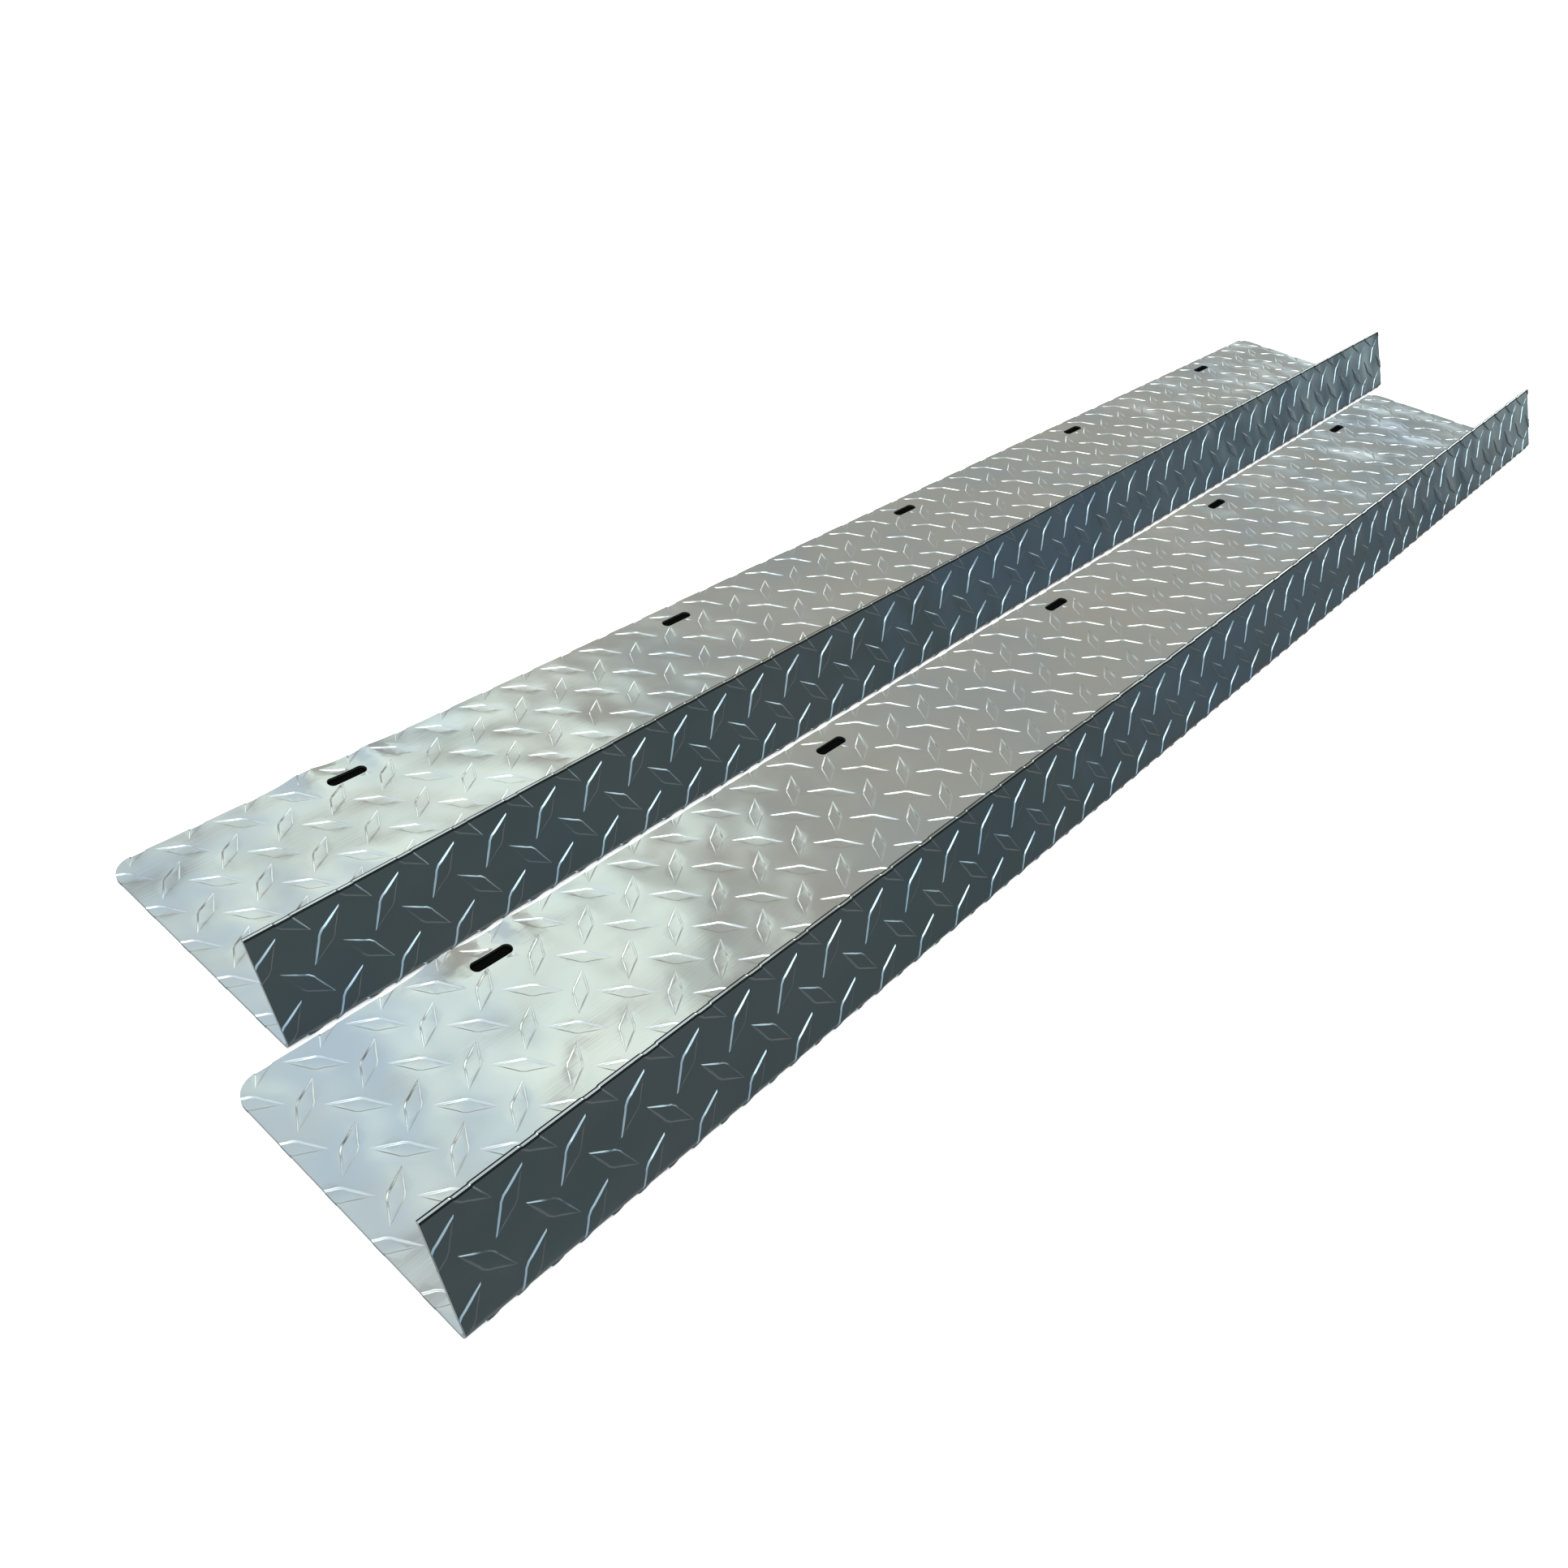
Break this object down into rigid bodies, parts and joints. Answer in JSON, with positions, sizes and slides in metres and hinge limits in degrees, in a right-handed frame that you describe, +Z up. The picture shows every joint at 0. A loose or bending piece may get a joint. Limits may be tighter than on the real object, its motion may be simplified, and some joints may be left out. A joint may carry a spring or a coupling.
{
  "type": "slotted tread plate angle rail",
  "caption": "Pair of folded angle rails in thin aluminium tread plate, slotted along the wide leg, for edging or guarding a panel.",
  "frame": {"origin": "on the ground, under the middle of the pair's bounding box", "axes": "+X along the rails, +Y across them from the folds towards the slotted edges, +Z up from the ground"},
  "size_m": [1.3, 0.3184, 0.0517],
  "materials": {
    "far_sheet": "bright rolled, with a raised lug pattern",
    "near_sheet": "bright rolled, with a raised lug pattern"
  },
  "bodies": {
    "root": {"far_rail": "far_sheet", "near_rail": "near_sheet"}
  },
  "joints": []
}
